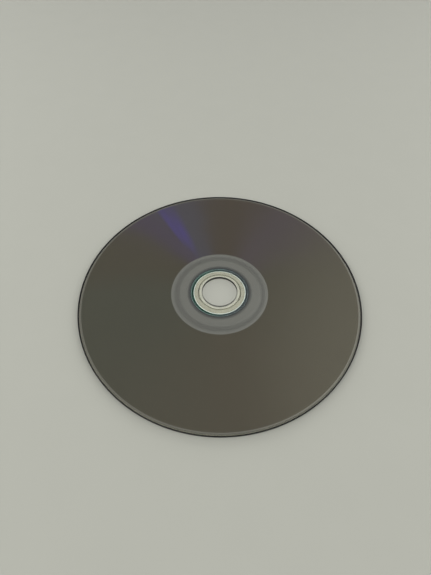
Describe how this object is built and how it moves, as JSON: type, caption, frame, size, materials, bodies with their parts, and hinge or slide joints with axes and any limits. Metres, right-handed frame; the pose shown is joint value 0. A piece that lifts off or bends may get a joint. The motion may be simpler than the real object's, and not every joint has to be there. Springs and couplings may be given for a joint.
{
  "type": "optical disc",
  "caption": "Thin round laminated optical data disc with a spindle hole, a clear hub, a raised stacking ring and a mirrored recording layer seen through its clear play side.",
  "frame": {"origin": "on the disc's axis, at the label face that the disc lies on", "axes": "+Z along the spindle axis, out of the play side; X and Y lie in the disc's plane, and the picture looks along +Y from above with +X to the right"},
  "size_m": [0.12, 0.12, 0.0014],
  "materials": {
    "play_plastic": "clear gloss",
    "dye": "violet-brown mirror with fine concentric tracks",
    "silver": "bright mirror",
    "lacquer": "clear",
    "adhesive": "clear",
    "label_plastic": "clear gloss",
    "pale_ink": "satin printed coat",
    "green_ink": "satin printed coat"
  },
  "bodies": {
    "root": {"play_substrate": "play_plastic", "recording_dye": "dye", "reflector_film": "silver", "protective_lacquer": "lacquer", "bond_layer": "adhesive", "label_substrate": "label_plastic", "label_base_coat": "pale_ink", "label_hub_ring": "green_ink"}
  },
  "joints": []
}
